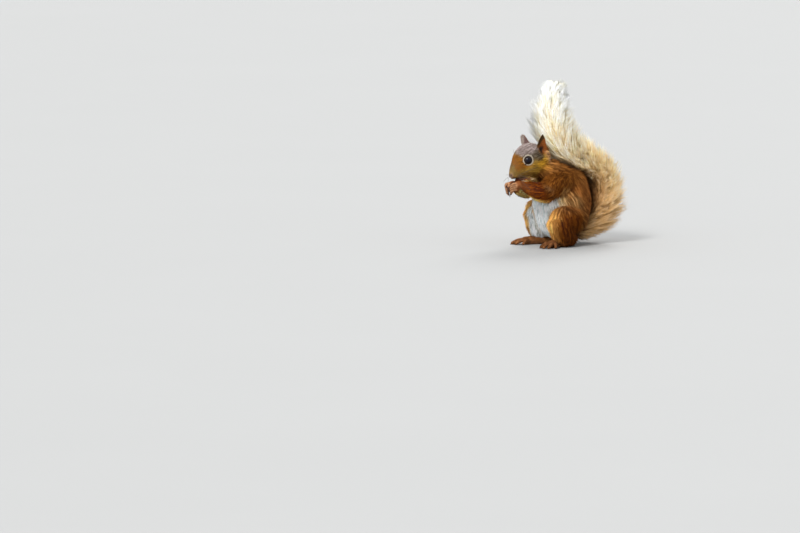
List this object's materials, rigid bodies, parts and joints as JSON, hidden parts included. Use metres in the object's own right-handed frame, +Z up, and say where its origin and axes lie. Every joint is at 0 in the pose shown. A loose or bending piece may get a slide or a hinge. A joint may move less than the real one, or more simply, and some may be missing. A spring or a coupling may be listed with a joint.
{
  "type": "red squirrel",
  "caption": "Life-size red squirrel sitting up on its haunches, hands held together at the mouth and bushy tail raised behind its back.",
  "frame": {"origin": "on the floor, under the middle of the animal's bounding box", "axes": "+Z up, -Y the way the animal faces, +X the animal's left"},
  "size_m": [0.0948, 0.1776, 0.2164],
  "materials": {
    "coat": "matte",
    "tail_hair": "matte",
    "ear": "matte",
    "paw": "matte",
    "eye": "gloss",
    "claw": "satin"
  },
  "bodies": {
    "root": {"head": "coat", "neck": "coat", "trunk": "coat", "upper_arm_left": "coat", "upper_arm_right": "coat", "forearm_left": "coat", "forearm_right": "coat", "hind_leg_left": "coat", "hind_leg_right": "coat", "hand_left": "paw", "hand_right": "paw", "hind_foot_left": "paw", "hind_foot_right": "paw", "ear_left": "ear", "ear_right": "ear", "eye_left": "eye", "eye_right": "eye", "tail_base": "tail_hair", "tail_middle": "tail_hair", "tail_tip": "tail_hair"}
  },
  "joints": []
}
